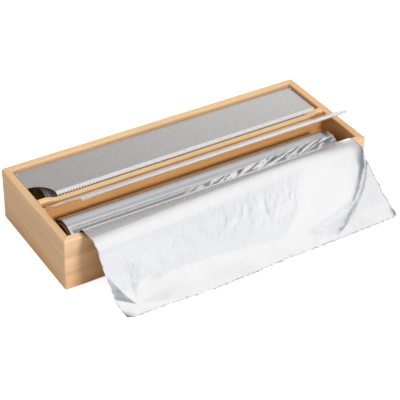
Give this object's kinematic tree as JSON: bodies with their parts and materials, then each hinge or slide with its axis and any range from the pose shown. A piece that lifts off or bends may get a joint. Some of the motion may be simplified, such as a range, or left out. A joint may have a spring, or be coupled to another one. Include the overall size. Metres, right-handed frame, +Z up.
{
  "type": "foil and cling film dispenser box",
  "caption": "Open-topped bamboo box with a divider, serrated steel lids hinged over each bay, and a wrap roll in each bay; foil is drawn out over the front wall.",
  "frame": {"origin": "centre of the box's underside, on the plane it stands on", "axes": "+X along the box to the right, -Y towards the side the foil is drawn out over, +Z up"},
  "size_m": [0.34, 0.199, 0.0786],
  "materials": {
    "bamboo": "satin lacquer over straight bamboo grain",
    "bamboo_side": "satin lacquer over straight bamboo grain",
    "bamboo_panel": "matt sanded bamboo board",
    "lid_steel": "brushed along the lid",
    "fixing_steel": "bright zinc",
    "nylon": "dark nylon",
    "cardboard": "raw spiral-wound board",
    "foil": "bright side out, lightly crumpled",
    "film": "glossy wound clear film"
  },
  "bodies": {
    "box": {"front_wall": "bamboo", "back_wall": "bamboo", "left_wall": "bamboo_side", "right_wall": "bamboo_side", "corner_splines": "bamboo_side", "divider": "bamboo", "base_panel": "bamboo_panel", "base_pins": "fixing_steel", "rear_hinge_screws": "fixing_steel", "rear_hinge_washers": "nylon", "front_hinge_screws": "fixing_steel", "front_hinge_washers": "nylon", "foil_sheet": "foil"},
    "front_lid": {"front_lid": "lid_steel"},
    "rear_lid": {"rear_lid": "lid_steel"},
    "foil_roll": {"foil_core": "cardboard", "foil_winding": "foil"},
    "film_roll": {"film_core": "cardboard", "film_winding": "film"}
  },
  "joints": [
    {"name": "front_lid_hinge", "type": "hinge", "parent": "box", "child": "front_lid", "pos_m": [0, -0.0065, 0.0506], "axis": [-1, 0, 0], "range_deg": [-36, 62]},
    {"name": "rear_lid_hinge", "type": "hinge", "parent": "box", "child": "rear_lid", "pos_m": [0, 0.0545, 0.0506], "axis": [-1, 0, 0], "range_deg": [0, 98]},
    {"name": "foil_roll_spin", "type": "hinge", "parent": "box", "child": "foil_roll", "pos_m": [0, -0.033, 0.0283], "axis": [1, 0, 0], "continuous": true},
    {"name": "film_roll_spin", "type": "hinge", "parent": "box", "child": "film_roll", "pos_m": [0, 0.031, 0.0273], "axis": [1, 0, 0], "continuous": true}
  ]
}
